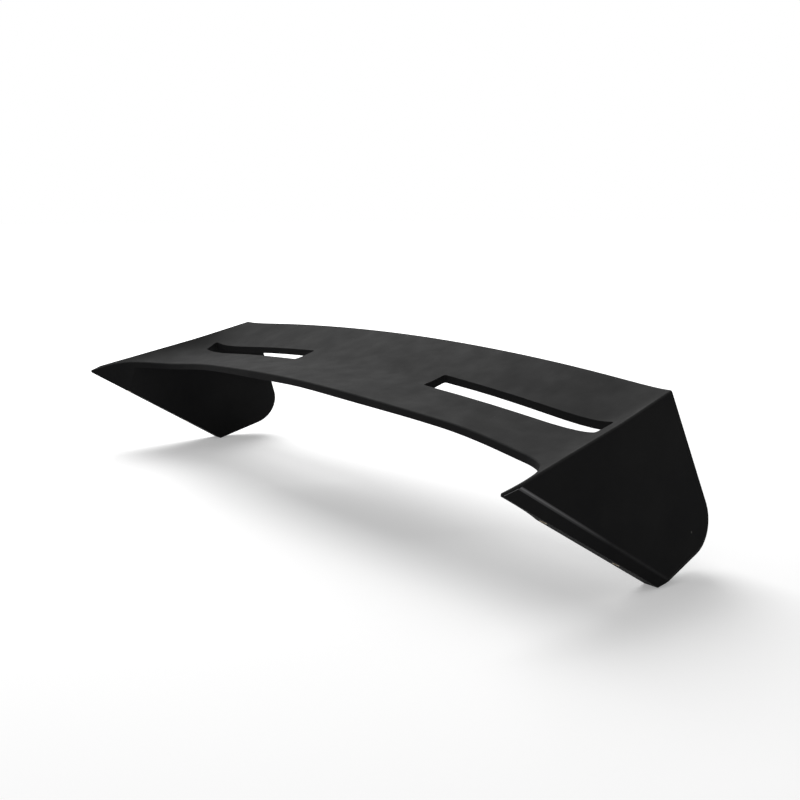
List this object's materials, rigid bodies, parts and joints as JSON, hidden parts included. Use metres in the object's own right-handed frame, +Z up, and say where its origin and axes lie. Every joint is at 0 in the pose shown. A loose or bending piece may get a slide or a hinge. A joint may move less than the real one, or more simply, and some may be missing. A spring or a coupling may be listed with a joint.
{
  "type": "rear wing",
  "caption": "Hatchback roof wing moulded in one piece: a crowned panel with long slots, carried by canted end plates that reach forward in pointed horns.",
  "frame": {"origin": "middle of the bounding box, at the height of the heels, which are the wing's lowest points", "axes": "as the wing sits on a car: +X to the car's left, +Y to the rear, +Z up"},
  "size_m": [1.1148, 0.346, 0.236],
  "materials": {
    "black_plastic": "satin black moulding with a fine, even texture",
    "brass": "turned brass"
  },
  "bodies": {
    "root": {"wing_shell": "black_plastic", "insert_left_front": "brass", "insert_left_rear": "brass", "insert_right_front": "brass", "insert_right_rear": "brass"}
  },
  "joints": []
}
